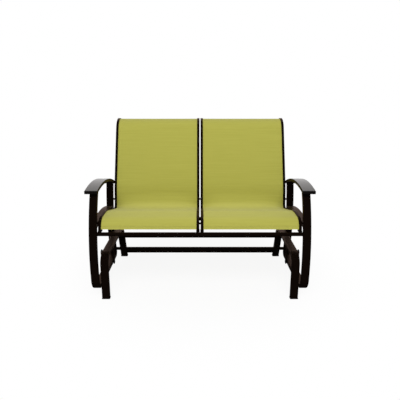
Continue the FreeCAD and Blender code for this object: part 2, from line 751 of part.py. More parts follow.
def make_sling_rail(label, x, inwards):
    """inwards is the side of the rail that the fabric lies on."""
    body = new_body(label, x)
    half = s.rail_width / 2
    groove = half - s.groove_depth
    groove_end = s.groove_down + s.groove_height
    outline = [
        (-half, 0), (half, 0), (half, s.groove_down), (groove, s.groove_down), (groove, groove_end),
        (half, groove_end), (half, s.rail_depth), (-half, s.rail_depth),
    ]
    section = new_sketch(body, "Section", "XY_Plane", s.rail_front_y, rail_start_z, None)
    draw_run(section, [(across * inwards, sized(down), None) for across, down in outline], closed=True)
    sweep(body, section, draw_sling_line(body, rail_start_z, rail_end))
    return node(body, label)


# Sling: one flat length of fabric, whose edges lie in the grooves of two rails
fabric_down = s.groove_down + (s.groove_height - s.fabric_thickness) / 2
sling_end = beside(rail_end, roll_corner, s.hem_rear, sized(0))


def make_sling(side_name, side):
    body = new_body(f"{side_name}_sling", sling_x * side)
    section = new_sketch(body, "Section", "XY_Plane", s.rail_front_y, rail_start_z, None)
    draw_box(section, s.sling_width + s.fabric_grip * 2, fabric_down, fabric_down + s.fabric_thickness)
    sweep(body, section, draw_sling_line(body, rail_start_z, sling_end), refine=False)
    hem = new_sketch(body, "Hem", "XY_Plane", s.rail_front_y, s.hem_z, None)
    draw_box(hem, s.sling_width * 2, -s.rail_depth, s.front_bend_radius)
    cut(body, hem, s.hem_z - rail_start_z + s.rail_depth, refine=False)
    return node(body, f"{side_name}_sling")


# Boot: a plastic sleeve round the front end of a rail, which stands on the front stretcher
def make_boot(name, x):
    body = new_body(name, x)
    grow = s.boot_wall
    bottom = rail_start_z - s.boot_sole
    outside = new_sketch(body, "Outside", "XY_Plane", s.rail_front_y, bottom, None)
    draw_box(outside, s.rail_width + grow * 2, -grow, s.rail_depth + grow, grow)
    pad(body, outside, s.boot_height)
    inside = new_sketch(body, "Inside", "XY_Plane", s.rail_front_y, bottom + s.boot_height, None)
    play = s.fit_play
    draw_box(inside, s.rail_width + play * 2, -play, s.rail_depth + play)
    cut(body, inside, s.boot_height - s.boot_sole)
    return body


def make_rail_cap(name, x):
    body = new_body(name, x)
    lean = lean_of(rail_end, roll_corner)
    section = new_sketch(body, "Section", "XY_Plane", *rail_end, lean)
    draw_box(section, s.rail_width, -s.rail_depth, sized(0), s.rail_cap_bevel)
    feature = pad(body, section, s.rail_cap)
    feature.Reversed = True
    return body


# Spreader: a rectangular tube between the two rails of a sling, behind the fabric, which keeps it tight
SPREADERS = {
    "seat": (seat_corner, crest_corner, s.seat_spreader_reach, -s.spreader_depth),
    "back": (lumbar_corner, roll_corner, s.back_spreader_reach, s.spreader_depth),
    "top": (rail_end, roll_corner, s.top_spreader_reach, -s.spreader_depth),
}


def make_spreader(label, x, start, end, reach, depth):
    body = new_body(label, x)
    along = lean_of(start, end)
    y, z = beside(start, end, reach, depth)
    section = new_sketch(body, "Section", "YZ_Plane")
    section.AttachmentOffset = FreeCAD.Placement(Vector(y.value, z.value, 0),
                                                 FreeCAD.Rotation(Vector(0, 0, -1), along.value))
    bind(section, "AttachmentOffset.Base.x", y)
    bind(section, "AttachmentOffset.Base.y", z)
    bind(section, "AttachmentOffset.Rotation.Angle", along)
    half = s.spreader_width / 2
    draw_box(section, s.spreader_thickness, -half, half, name="outside")
    inside = half - s.spreader_wall
    draw_box(section, s.spreader_thickness - s.spreader_wall * 2, -inside, inside, name="inside")
    pad(body, section, s.sling_width, both_sides=True)
    return node(body, label)


boots = []
caps = []
for side_name, side in SIDES.items():
    for row, x, inwards in (("inner", inner_rail_x, side), ("outer", outer_rail_x, -side)):
        name = f"{side_name}_{row}"
        make_sling_rail(f"{name}_sling_rail", x * side, inwards)
        boots.append(make_boot(f"{name}_boot", x * side))
        caps.append(make_rail_cap(f"{name}_cap", x * side))
    make_sling(side_name, side)
    for row, line in SPREADERS.items():
        make_spreader(f"{side_name}_{row}_spreader", sling_x * side, *line)
group("rail_boots", boots)
group("rail_end_caps", caps)

# Spacers: short hexagonal pieces between each outer rail and its side frame, and between the two inner rails
spacers = []
for end, y, z in (("front", s.front_spacer_y, s.front_spacer_z), ("rear", s.rear_spacer_y, s.rear_spacer_z)):
    spacers.append(hexagon(f"{end}_centre_spacer", -s.centre_gap / 2, y, z, s.centre_gap, s.spacer_radius))
    for side_name, side in SIDES.items():
        spacers.append(hexagon(f"{end}_{side_name}_spacer", span(rail_face_x, s.rail_gap, side), y, z,
                               s.rail_gap, s.spacer_radius))
group("rail_spacers", spacers)

# Every feature and every sub-part is sound before anything is written
doc.recompute()
for thing in doc.Objects:
    if "Invalid" in thing.State or "Error" in thing.State:
        raise RuntimeError(f"{thing.Label}: {thing.State}")
for thing in nodes:
    if thing.Shape.isNull() or not thing.Shape.isValid():
        raise RuntimeError(f"{thing.Label} has no sound shape")
os.makedirs("parts", exist_ok=True)
for thing in nodes:
    thing.Shape.exportStep(f"parts/{thing.Label}.step")
bounds = FreeCAD.BoundBox()
for thing in nodes:
    bounds.add(thing.Shape.BoundBox)
print(f"{len(nodes)} sub-parts, bounds {bounds}")
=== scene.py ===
"""A two-seat glider bench: olive sling seats on a dark powder-coated tube frame, before white studio paper."""
import math

import bmesh
import bpy
import numpy as np
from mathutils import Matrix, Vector


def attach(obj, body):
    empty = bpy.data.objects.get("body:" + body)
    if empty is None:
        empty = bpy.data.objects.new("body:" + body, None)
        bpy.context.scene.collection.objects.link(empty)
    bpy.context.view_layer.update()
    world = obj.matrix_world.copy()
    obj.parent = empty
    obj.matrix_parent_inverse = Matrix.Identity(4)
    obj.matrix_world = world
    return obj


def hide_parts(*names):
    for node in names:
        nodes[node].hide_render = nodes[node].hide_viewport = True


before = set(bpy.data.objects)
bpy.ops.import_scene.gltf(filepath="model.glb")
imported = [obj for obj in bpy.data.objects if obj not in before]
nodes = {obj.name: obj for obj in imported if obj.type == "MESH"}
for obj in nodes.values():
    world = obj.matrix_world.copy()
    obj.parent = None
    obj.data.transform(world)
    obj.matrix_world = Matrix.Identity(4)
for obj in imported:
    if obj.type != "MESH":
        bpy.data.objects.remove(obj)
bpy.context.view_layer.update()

# Base frames: the two standing sides. Each is one aluminium tube with rolled corners, bent into a front leg, a
# level top rail and a rear leg, sawn level above its foot glides, and powder-coated nearly black.
# Depths and heights are those of the side drawing. Its zero lies a little behind the origin.
sides = (("left", -1), ("right", 1))
drawing_zero = 0.0131
tube_width = 0.044
tube_depth = 0.025
tube_corner = 0.005
base_x = 0.537
base_corners = [
    ((-0.394, 0.0), None),
    ((-0.380, 0.2512), 0.055),
    ((0.097, 0.2512), 0.090),
    ((0.188, 0.0), None),
]
saw_cut = np.array([(-0.6, 0.005), (0.4, 0.005)])
closest_rings = 0.0005
sharp_angle = math.radians(38)
coat_dark = (0.0074, 0.0038, 0.0022, 1)
coat_pale = (0.0136, 0.0074, 0.0048, 1)
coat_tint = (1.0, 0.72, 0.60, 1)
cloud_scale = 9.0
cloud_share = 0.5
cloud_roughness = 0.10
pebble = 0.0011
pebble_height = 0.0002
pebble_relief = 0.22
pale_pebbles = (0.5, 0.8)
specks_per_pebble = 0.7
speck_height = 0.6


def bent_line(corners, turn_step=3.0, longest=0.010, hair=None):
    """Points and directions along straight runs with round bends between them. A hair adds a point on the run
    beside each bend, which keeps the run's faces flat up to there."""
    points = [np.array(place, float) for place, radius in corners]
    straights = [(after - before) / np.linalg.norm(after - before) for before, after in zip(points, points[1:])]
    stations = [(points[0], straights[0])]
    for corner, before, after, (place, radius) in zip(points[1:], straights, straights[1:], corners[1:]):
        if radius is None:
            stations.append((corner, before))
            continue
        turn = math.acos(float(before @ after))
        reach = radius * math.tan(turn / 2)
        enter = corner - before * reach
        leave = corner + after * reach
        middle = corner + (after - before) / np.linalg.norm(after - before) * radius / math.cos(turn / 2)
        if hair:
            stations.append((enter - before * hair, before))
        for share in np.linspace(0, 1, int(max(math.degrees(turn) / turn_step, turn * radius / longest)) + 2):
            first = math.sin((1 - share) * turn) / math.sin(turn)
            last = math.sin(share * turn) / math.sin(turn)
            stations.append((middle + (enter - middle) * first + (leave - middle) * last,
                             before * first + after * last))
        if hair:
            stations.append((leave + after * hair, after))
    stations.append((points[-1], straights[-1]))
    return np.array([place for place, run in stations]), np.array([run for place, run in stations])


def rolled_box(width, low, high, radius):
    """The outline of a tube or extrusion with round corners, as points across the bench and out of its line."""
    half = width / 2
    corners = [((0, low), None), ((half, low), radius), ((half, high), radius), ((-half, high), radius),
               ((-half, low), radius), ((0, low), None)]
    return bent_line(corners, turn_step=15, hair=0.0004)[0][:-1]


def reach_to(strand, run, stop):
    """How far a strand of a tube runs on until it crosses a stop line."""
    edges = np.diff(stop, axis=0)
    gaps = stop[:-1] - strand
    bottom = run[0] * edges[:, 1] - run[1] * edges[:, 0]
    bottom[bottom == 0] = np.nan
    far = (gaps[:, 0] * edges[:, 1] - gaps[:, 1] * edges[:, 0]) / bottom
    share = (gaps[:, 0] * run[1] - gaps[:, 1] * run[0]) / bottom
    crossed = far[(share >= 0) & (share <= 1)]
    return crossed[np.argmin(np.abs(crossed))]


def carry(outline, line, x, stops=(None, None)):
    """Rings of points: an outline carried along a line. At an end with a stop line, it is coped to that line."""
    places, runs = line
    fronts = np.stack([-runs[:, 1], runs[:, 0]], axis=1)
    strands = places[:, None] + fronts[:, None] * outline[None, :, 1:]
    for stop in stops:
        strands, runs = strands[::-1], -runs[::-1]
        if stop is None:
            continue
        reach = np.array([reach_to(strand, runs[-1], stop) for strand in strands[-1]])
        while reach.min() < closest_rings:
            strands, runs = strands[:-1], runs[:-1]
            reach = np.array([reach_to(strand, runs[-1], stop) for strand in strands[-1]])
        coped = strands[-1] + reach[:, None] * runs[-1]
        strands = np.concatenate([strands, coped[None]])
        runs = np.concatenate([runs, runs[-1:]])
    across = np.broadcast_to(x + outline[None, :, :1], (*strands.shape[:2], 1))
    return np.concatenate([across, strands], axis=2)


def skin(rings, looped=False):
    """Points and faces of the closed skin over rings of points."""
    count, around = rings.shape[:2]
    faces = []
    for ring in range(count if looped else count - 1):
        here = ring * around
        there = (ring + 1) % count * around
        for step in range(around):
            ahead = (step + 1) % around
            faces.append((here + step, there + step, there + ahead, here + ahead))
    if not looped:
        faces.append(tuple(range(around)))
        faces.append(tuple(range((count - 1) * around, count * around)))
    return rings.reshape(-1, 3), faces


def new_piece(name, skins, material, body, stands_for=()):
    """One mesh from several skins, turned outwards, smooth but for its sharp edges, that rides on a body."""
    verts = []
    faces = []
    for points, sheet in skins:
        faces += [[corner + len(verts) for corner in face] for face in sheet]
        verts += [(x, y - drawing_zero, z) for x, y, z in points]
    mesh = bpy.data.meshes.new(name)
    mesh.from_pydata(verts, [], faces)
    shape = bmesh.new()
    shape.from_mesh(mesh)
    bmesh.ops.recalc_face_normals(shape, faces=shape.faces)
    shape.to_mesh(mesh)
    shape.free()
    mesh.polygons.foreach_set("use_smooth", [True] * len(mesh.polygons))
    mesh.set_sharp_from_angle(angle=sharp_angle)
    mesh.materials.append(material)
    piece = bpy.data.objects.new(name, mesh)
    bpy.context.scene.collection.objects.link(piece)
    if stands_for:
        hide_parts(*stands_for)
    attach(piece, body)
    return piece


class Wire:
    """An output of a shader node. Sums and products of such outputs add the Math nodes for them."""

    def __init__(self, tree, socket=None):
        self.tree = tree
        self.socket = socket

    def node(self, kind, settings=(), inputs=(), output=0):
        """Adds one node: its settings first, then the values or links of its sockets."""
        made = self.tree.nodes.new("ShaderNode" + kind)
        for name, value in dict(settings).items():
            setattr(made, name, value)
        for name, value in dict(inputs).items():
            if isinstance(value, Wire):
                self.tree.links.new(value.socket, made.inputs[name])
            else:
                made.inputs[name].default_value = value
        return Wire(self.tree, made.outputs[output])

    def maths(self, operation, first, second):
        return self.node("Math", {"operation": operation}, {0: first, 1: second})

    def __add__(self, other):
        return self.maths("ADD", self, other)

    def __radd__(self, other):
        return self.maths("ADD", other, self)

    def __sub__(self, other):
        return self.maths("SUBTRACT", self, other)

    def __rsub__(self, other):
        return self.maths("SUBTRACT", other, self)

    def __mul__(self, other):
        return self.maths("MULTIPLY", self, other)

    def __rmul__(self, other):
        return self.maths("MULTIPLY", other, self)

    def sine(self):
        return self.maths("SINE", self, 0.0)

    def between(self, low, high):
        """Nought below low, one above high, and a smooth step in the middle."""
        return self.node("MapRange", {"interpolation_type": "SMOOTHSTEP"},
                         {"Value": self, "From Min": low, "From Max": high})

    def blend(self, first, second):
        """A colour between two others, by this value. A Mix node's colours are its sockets 6 and 7, and 2 outside."""
        return self.node("Mix", {"data_type": "RGBA"}, {"Factor": self, 6: first, 7: second}, output=2)

    def part(self, letter):
        """One of the three values of a vector."""
        return self.node("SeparateXYZ", inputs={"Vector": self}, output=letter)

    def finish(self, shader, kind="OutputMaterial"):
        self.tree.links.new(shader.socket, self.tree.nodes.new("ShaderNode" + kind).inputs["Surface"])


def new_material(name):
    material = bpy.data.materials.new(name)
    material.use_nodes = True
    material.node_tree.nodes.clear()
    return material, Wire(material.node_tree)


def powder_coat(name, roughness, shine, bronze, rubbed=None):
    """A baked coat with a fine orange-peel skin, a little cloudy in tone and in gloss, and with some bronze flake.
    Hands may have rubbed it smoother on faces that look up: how far up, how smooth and how glossy."""
    material, wire = new_material(name)
    place = wire.node("TexCoord", output="Object")
    cloud = wire.node("TexNoise", inputs={"Vector": place, "Scale": cloud_scale, "Detail": 3.0})
    grain = wire.node("TexNoise", inputs={"Vector": place, "Scale": 1 / pebble, "Detail": 1.5})
    speck = wire.node("TexVoronoi", inputs={"Vector": place, "Scale": specks_per_pebble / pebble})
    tone = cloud * cloud_share + grain.between(*pale_pebbles) * (1 - cloud_share)
    bump = wire.node("Bump", inputs={"Height": grain + speck * speck_height, "Strength": pebble_relief,
                                     "Distance": pebble_height})
    inputs = {
        "Base Color": tone.blend(coat_dark, coat_pale),
        "Roughness": roughness - cloud_roughness / 2 + cloud * cloud_roughness,
        "Specular IOR Level": shine,
        "Specular Tint": coat_tint,
        "Metallic": bronze,
        "Normal": bump,
    }
    if rubbed:
        where, inputs["Coat Roughness"], inputs["Coat IOR"] = rubbed
        inputs["Coat Weight"] = wire.node("NewGeometry", output="Normal").part("Z").between(*where)
    wire.finish(wire.node("BsdfPrincipled", inputs=inputs))
    return material


coat = powder_coat("powder_coat", roughness=0.42, shine=0.11, bronze=0.5)
tube_outline = rolled_box(tube_width, -tube_depth / 2, tube_depth / 2, tube_corner)
base_line = bent_line(base_corners)
for side_name, side in sides:
    new_piece(f"{side_name}_base_tube", [skin(carry(tube_outline, base_line, base_x * side, (saw_cut, saw_cut)))],
              coat, "base", [f"{side_name}_base_frame"])

# Foot glides: black polyethylene feet below the legs, each pressed into its tube by a plug. They are the packed
# shapes, with their moulded edges rounded.
glide_edge = 0.0009
round_steps = 2
round_from = math.radians(50)
plastic_dark = (0.0036, 0.0026, 0.0022, 1)
plastic_pale = (0.0072, 0.0055, 0.0047, 1)
plastic_roughness = 0.44
mould_scale = 1500.0
mould_share = 0.3
scuff_scale = 60.0
scuffed = (0.35, 0.7)
scuff_roughness = 0.14


def dress(names, material, edge=None):
    """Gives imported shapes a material, and rounds their edges without touching their meshes."""
    for name in names:
        mesh = nodes[name].data
        mesh.materials.clear()
        mesh.materials.append(material)
        if edge:
            rounding = nodes[name].modifiers.new("edges", "BEVEL")
            rounding.width = edge
            rounding.segments = round_steps
            rounding.limit_method = "ANGLE"
            rounding.angle_limit = round_from


plastic, wire = new_material("moulded_plastic")
place = wire.node("TexCoord", output="Object")
mould_grain = wire.node("TexNoise", inputs={"Vector": place, "Scale": mould_scale, "Detail": 2.0})
scuff = wire.node("TexNoise", inputs={"Vector": place, "Scale": scuff_scale, "Detail": 5.0})
tone = scuff * (1 - mould_share) + mould_grain * mould_share
wire.finish(wire.node("BsdfPrincipled", inputs={
    "Base Color": tone.blend(plastic_dark, plastic_pale),
    "Roughness": plastic_roughness + scuff.between(*scuffed) * scuff_roughness,
    "Specular IOR Level": 0.08,
    "Normal": wire.node("Bump", inputs={"Height": mould_grain, "Strength": 0.3, "Distance": 0.0001}),
}))
dress(["front_foot_glides", "rear_foot_glides"], plastic, glide_edge)

# Base stretchers: two round aluminium bars, one above the other between the rear legs. Their sawn ends butt
# against the inner faces of the tubes and are welded all round, under the same coat.
base_bar_radius = 0.0135
base_bar_half = 0.515
base_bars = (("upper", 0.12424, 0.176), ("lower", 0.17231, 0.0433))
bar_sides = 40
bead_radius = 0.0015
bead_sides = 8
bead_ripple = 0.0024
bead_swell = 0.16
rings_per_ripple = 4


def evenly(points, spacing):
    """Points at even distances along a line of points."""
    far = np.concatenate([[0], np.cumsum(np.linalg.norm(np.diff(points, axis=0), axis=1))])
    places = np.linspace(0, far[-1], int(far[-1] / spacing) + 1)
    return np.stack([np.interp(places, far, axis) for axis in points.T], axis=1)


def round_turns(count):
    """Angles once round, one for each side of a round section."""
    return np.linspace(0, 2 * math.pi, count, endpoint=False)


def weld(loop, through):
    """A bead of weld along a closed loop of points, rippled as it cooled. through is square to the joint."""
    loop = evenly(np.concatenate([loop, loop[:1]]), bead_ripple / rings_per_ripple)[:-1]
    ahead = np.roll(loop, -1, axis=0) - np.roll(loop, 1, axis=0)
    ahead /= np.linalg.norm(ahead, axis=1)[:, None]
    beside = np.cross(ahead, through)
    swell = bead_radius * (1 + bead_swell * np.cos(np.arange(len(loop)) * 2 * math.pi / rings_per_ripple))
    turns = round_turns(bead_sides)[None, :, None]
    section = np.cos(turns) * np.array(through) + np.sin(turns) * beside[:, None]
    return skin(loop[:, None] + swell[:, None, None] * section, looped=True)


def bar(y, z, half, radius):
    """A round bar across the bench, with a weld round each end."""
    turns = round_turns(bar_sides)
    circle = np.stack([np.zeros(bar_sides), y + radius * np.cos(turns), z + radius * np.sin(turns)], axis=1)
    rings = np.stack([circle + (x, 0, 0) for x in (-half, half)])
    return [skin(rings), weld(rings[0], (1, 0, 0)), weld(rings[1], (1, 0, 0))]


for row, y, z in base_bars:
    new_piece(f"base_{row}_bar", bar(y, z, base_bar_half, base_bar_radius), coat, "base",
              [f"base_{row}_stretcher"])

# Glide links, their bushings and pivot bolts: flat coated bars with round ends hang beside the base rails, with
# a nylon bushing pressed into each end, and turn on plated hexagon bolts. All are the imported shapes.
link_edge = 0.0006
bolt_edge = 0.0004
zinc_dark = (0.060, 0.056, 0.052, 1)
zinc_pale = (0.130, 0.124, 0.116, 1)
zinc_roughness = 0.30
stain_scale = 180.0
stain_roughness = 0.2

ends = [f"{end}_{side_name}" for end in ("front", "rear") for side_name, side in sides]
dress([f"{name}_link" for name in ends], coat, link_edge)
dress([f"{name}_bushings" for name in ends], plastic)
zinc, wire = new_material("black_zinc")
place = wire.node("TexCoord", output="Object")
stain = wire.node("TexNoise", inputs={"Vector": place, "Scale": stain_scale, "Detail": 4.0})
wire.finish(wire.node("BsdfPrincipled", inputs={
    "Base Color": stain.blend(zinc_dark, zinc_pale),
    "Metallic": 1.0,
    "Roughness": zinc_roughness + stain * stain_roughness,
}))
dress(["upper_pivot_bolts", "lower_pivot_bolts"], zinc, bolt_edge)

# Side frames: the same tube, bent into a bowed front post, a level lower rail and a rear post. Both posts are
# coped to the underside of the arm above them and welded round.
side_x = 0.5915
side_corners = [
    ((-0.250, 0.650), None),
    ((-0.395, 0.399), 0.900),
    ((-0.395, 0.0542), 0.060),
    ((0.098, 0.0542), 0.020),
    ((0.049, 0.326), 0.850),
    ((0.1274, 0.575), None),
]
arm_thickness = 0.017
arm_corners = [
    ((-0.318, 0.606), None),
    ((-0.079, 0.649), 0.7327),
    ((0.140, 0.5505), None),
]
fit_up = 0.00015


def shifted(line, out):
    """A bent line's points, moved out of it."""
    places, runs = line
    return places + np.stack([-runs[:, 1], runs[:, 0]], axis=1) * out


def end_weld(rings, number):
    """The weld round one end of a coped tube, whose first or last ring lies on the joint."""
    inner = -2 if number == -1 else 1
    through = rings[number].mean(axis=0) - rings[inner].mean(axis=0)
    return weld(rings[number], through / np.linalg.norm(through))


side_line = bent_line(side_corners)
arm_line = bent_line(arm_corners)
arm_underside = shifted(arm_line, -arm_thickness / 2 - fit_up)
for side_name, side in sides:
    rings = carry(tube_outline, side_line, side_x * side, (arm_underside, arm_underside))
    new_piece(f"{side_name}_side_tube", [skin(rings), end_weld(rings, 0), end_weld(rings, -1)], coat, "seat",
              [f"{side_name}_side_frame"])

# Side rails: the same tube again, level behind the front post and arched down to the rear one. It carries the
# sling rails through spacers. Both ends are coped to the posts and welded.
side_rail_corners = [
    ((-0.355, 0.425), None),
    ((-0.032, 0.425), 0.690),
    ((0.083, 0.3917), None),
]
window_middle = -0.15

side_rail_line = bent_line(side_rail_corners)
post_faces = shifted(side_line, tube_depth / 2 + fit_up)
post_parting = int(np.argmin(np.abs(post_faces[:, 0] - window_middle) + post_faces[:, 1]))
front_post_face = post_faces[:post_parting]
rear_post_face = post_faces[post_parting:]
for side_name, side in sides:
    rings = carry(tube_outline, side_rail_line, side_x * side, (front_post_face, rear_post_face))
    new_piece(f"{side_name}_rail_tube", [skin(rings), end_weld(rings, 0), end_weld(rings, -1)], coat, "seat",
              [f"{side_name}_side_rail"])

# Arms: flat aluminium extrusions with rounded edges, bowed over a former and welded on the posts. A domed plastic
# cap closes each end. Their coat is the smoothest, and hands have rubbed the tops smoother still.
arm_x = 0.599
arm_width = 0.072
arm_edge = 0.0022
least_edge = 0.0012
arm_cap_skirt = 0.006
cap_shape = ((0.0, 0.0007), (0.0004, 0.0001), (0.0012, 0.0), (0.0070, 0.0), (0.0088, 0.0002), (0.0098, 0.0007),
             (0.0105, 0.0015), (0.0109, 0.0026), (0.0110, 0.0045))
facing_up = (0.86, 0.91)
rubbed_roughness = 0.30
rubbed_gloss = 1.80

arm_coat = powder_coat("arm_coat", roughness=0.36, shine=0.02, bronze=0.12,
                       rubbed=(facing_up, rubbed_roughness, rubbed_gloss))
metal_line = (arm_line[0].copy(), arm_line[1])
metal_line[0][0] += arm_line[1][0] * arm_cap_skirt
metal_line[0][-1] -= arm_line[1][-1] * arm_cap_skirt


def arm_outline(inset):
    """The outline of an arm, or of its cap where that is smaller all round by the inset."""
    high = arm_thickness / 2 - inset
    return rolled_box(arm_width - inset * 2, -high, high, max(arm_edge - inset, least_edge))


def domed_cap(x, end, out):
    """A cap that starts with a fine joint at the arm's end and closes in a dome."""
    front = np.array([-out[1], out[0]])
    rings = []
    for far, inset in cap_shape:
        outline = arm_outline(inset)
        points = end + out * far + front * outline[:, 1:]
        rings.append(np.column_stack([x + outline[:, 0], points]))
    return skin(np.array(rings))


places, runs = metal_line
for side_name, side in sides:
    x = arm_x * side
    new_piece(f"{side_name}_armrest", [skin(carry(arm_outline(0), metal_line, x))], arm_coat, "seat",
              [f"{side_name}_arm"])
    new_piece(f"{side_name}_armrest_caps", [domed_cap(x, places[0], -runs[0]), domed_cap(x, places[-1], runs[-1])],
              plastic, "seat", [f"{side_name}_arm_caps"])

# Seat stretchers: three round bars that tie the two side frames together, in front below the slings, below the
# level part of the seat, and low down at the rear. They are welded like those of the base.
seat_bar_half = 0.5695
seat_bars = (("front", -0.364, 0.380, 0.011), ("middle", -0.240, 0.427, 0.0105), ("rear", 0.086, 0.0985, 0.0105))

for row, y, z, radius in seat_bars:
    new_piece(f"{row}_bar", bar(y, z, seat_bar_half, radius), coat, "seat", [f"{row}_stretcher"])

# Sling rails: four extrusions with a groove along the side that faces the cloth, bent to the profile of seat
# and back. The line is that of their upper face, from the front boot to the rear end below the rolled top.
rail_width = 0.016
rail_depth = 0.028
rail_edge = 0.0014
groove_down = 0.0032
groove_height = 0.0026
groove_depth = 0.006
lip_edge = 0.0004
rails = (("inner", 0.0115), ("outer", 0.5545))
rail_corners = [
    ((-0.366, 0.395), None),
    ((-0.366, 0.4655), 0.068),
    ((-0.195, 0.4655), 0.300),
    ((0.082, 0.3905), 0.026),
    ((0.1093, 0.520), 0.300),
    ((0.325, 0.9966), 0.098),
    ((0.431, 0.9224), None),
]

half = rail_width / 2
groove_end = groove_down + groove_height
rail_outline = bent_line([
    ((0, -rail_depth), None),
    ((half, -rail_depth), rail_edge),
    ((half, -groove_end), lip_edge),
    ((half - groove_depth, -groove_end), None),
    ((half - groove_depth, -groove_down), None),
    ((half, -groove_down), lip_edge),
    ((half, 0), rail_edge),
    ((-half, 0), rail_edge),
    ((-half, -rail_depth), rail_edge),
    ((0, -rail_depth), None),
], turn_step=20, hair=0.0003)[0][:-1]
rail_line = bent_line(rail_corners)
for side_name, side in sides:
    for row, x in rails:
        cloth_side = side if row == "inner" else -side
        new_piece(f"{side_name}_{row}_rail", [skin(carry(rail_outline * (cloth_side, 1), rail_line, x * side))],
                  coat, "seat", [f"{side_name}_{row}_sling_rail"])

# Boots, caps and spacers of the rails: moulded boots stand the rails' front ends on the front bar, thin caps
# close their rear ends, and short hexagon spacers hold them off the side frames and off each other.
boot_edge = 0.0006
spacer_edge = 0.0003

dress(["rail_boots", "rail_end_caps"], plastic, boot_edge)
dress(["rail_spacers"], coat, spacer_edge)

# Spreaders: rectangular tubes behind each sling, below the rear of the seat, behind the back and under the
# rolled top. They are sprung in between the rails and keep the cloth tight.
spreader_edge = 0.0008

dress([f"{side_name}_{row}_spreader" for side_name, side in sides for row in ("seat", "back", "top")], coat,
      spreader_edge)

# Slings: vinyl-coated polyester mesh, one length for each seat, from the front edge to below the rolled top.
# The side edges lie in the rails' grooves, and both ends are turned under and sewn down by two rows of
# lockstitch. The seat is painted paler, most of all at its rear: painted light, for the light that the level seat and
# the bend catch from above.
cloth = 0.0012
cloth_down = 0.0039
cloth_grip = 0.0055
cloth_inner = 0.0195
cloth_outer = 0.5465
cloth_columns = 48
cloth_step = 0.004
front_hem_height = 0.4045
rear_hem_back = 0.014
hem_width = 0.020
hem_slope = 0.0015
hem_extra = 0.9
fold_round = 0.0015
fold_least = 0.15
cut_across = 0.010
bridge_across = 0.070
bridge_lift = 0.004
bridge_blend = 0.018
bell_tails = 3
held_edge_power = 4
thread_pitch = 0.0021
weft_share = 0.6
streaks = (3.0, 330.0)
slubs = (9.0, 1100.0)
streak_tone = 0.55
slub_tone = 0.35
weave_tone = 0.05
pale_yarn = (0.25, 0.70)
cloth_roughness = 0.56
slub_roughness = 0.10
slub_height = 0.5
# The seat's painted light: how far from the front edge it starts, deepens and ends, and how much of it the front of
# the seat gets.
painted_light_starts = (0.03, 0.11)
painted_light_deepens = (0.11, 0.22)
painted_light_ends = (0.44, 0.52)
front_painted_light = 0.62
hem_fold = (0.001, 0.005)
seam_places = (0.0140, 0.0180)
stitch_length = 0.0045
stitch_radius = 0.00040
stitch_sides = 6
stitch_shape = ((0.04, 0.35, -0.0004), (0.22, 1.0, 0.0002), (0.5, 1.1, 0.0003), (0.78, 1.0, 0.0002),
                (0.96, 0.35, -0.0004))
twist_scale = 2200.0
pale_twist = (0.3, 0.7)
olive_dark = (0.400, 0.384, 0.068, 1)
olive = (0.462, 0.448, 0.088, 1)
# Paler olives for the seat's painted light.
painted_light_olive_dark = (0.506, 0.486, 0.107, 1)
painted_light_olive = (0.583, 0.564, 0.136, 1)
olive_hem = (0.520, 0.500, 0.120, 1)
olive_sheen = (1.0, 0.98, 0.62, 1)
thread_dark = (0.300, 0.285, 0.070, 1)
thread_pale = (0.480, 0.460, 0.150, 1)

sling_cloth, wire = new_material("sling_cloth")
threads = wire.node("UVMap", {"uv_map": "threads"})
across = threads.part("X")
down = threads.part("Y")
weft = (down * (2 * math.pi / thread_pitch)).sine()
warp = (across * (2 * math.pi / thread_pitch)).sine()
weave = weft * weft_share + warp * (1 - weft_share)


def yarn(scales, detail):
    """Uneven yarns that run across the cloth, by how fast they change across and down it."""
    place = across.node("CombineXYZ", inputs={"X": across * scales[0], "Y": down * scales[1]})
    return place.node("TexNoise", inputs={"Vector": place, "Scale": 1.0, "Detail": detail})


streak = yarn(streaks, 2.0)
slub = yarn(slubs, 1.0)
tone = (streak * streak_tone + slub * slub_tone + weave * weave_tone).between(*pale_yarn)
# Painted light: the seat's colour is made paler, most of all at its rear, in place of the light from above that falls
# on it.
painted_light = down.between(*painted_light_starts) * front_painted_light + down.between(*painted_light_deepens) * (1 - front_painted_light)
painted_light = painted_light * (1 - down.between(*painted_light_ends))
woven_and_painted_light = painted_light.blend(tone.blend(olive_dark, olive), tone.blend(painted_light_olive_dark, painted_light_olive))
turned_edge = 1 - down.between(*hem_fold)
relief = weave * (1 - slub_height) + slub * slub_height
wire.finish(wire.node("BsdfPrincipled", inputs={
    "Base Color": turned_edge.blend(woven_and_painted_light, olive_hem),
    "Roughness": cloth_roughness + slub * slub_roughness,
    "Specular IOR Level": 0.16,
    "Sheen Weight": 0.35,
    "Sheen Roughness": 0.45,
    "Sheen Tint": olive_sheen,
    "Normal": wire.node("Bump", inputs={"Height": relief, "Strength": 0.35, "Distance": 0.0004}),
}))

sewing_thread, wire = new_material("sewing_thread")
place = wire.node("TexCoord", output="Object")
twist = wire.node("TexNoise", inputs={"Vector": place, "Scale": twist_scale, "Detail": 1.0})
wire.finish(wire.node("BsdfPrincipled", inputs={
    "Base Color": twist.between(*pale_twist).blend(thread_dark, thread_pale),
    "Roughness": 0.5,
    "Specular IOR Level": 0.3,
    "Normal": wire.node("Bump", inputs={"Height": twist, "Strength": 0.4, "Distance": 0.0002}),
}))

cloth_line = evenly(shifted(rail_line, -cloth_down), cloth_step)
cloth_run = np.gradient(cloth_line, axis=0)
cloth_front = np.stack([-cloth_run[:, 1], cloth_run[:, 0]], axis=1)
cloth_front /= np.linalg.norm(cloth_front, axis=1)[:, None]


def drawn_tight(line, reach):
    """The line as it runs when it is pulled, so that it cuts its bends over that reach."""
    span = int(bell_tails * reach / cloth_step)
    bell = np.exp(-0.5 * (np.arange(-span, span + 1) * cloth_step / reach) ** 2)
    padded = np.concatenate([2 * line[0] - line[span:0:-1], line, 2 * line[-1] - line[-2:-span - 2:-1]])
    return np.stack([np.convolve(axis, bell / bell.sum(), "valid") for axis in padded.T], axis=1)


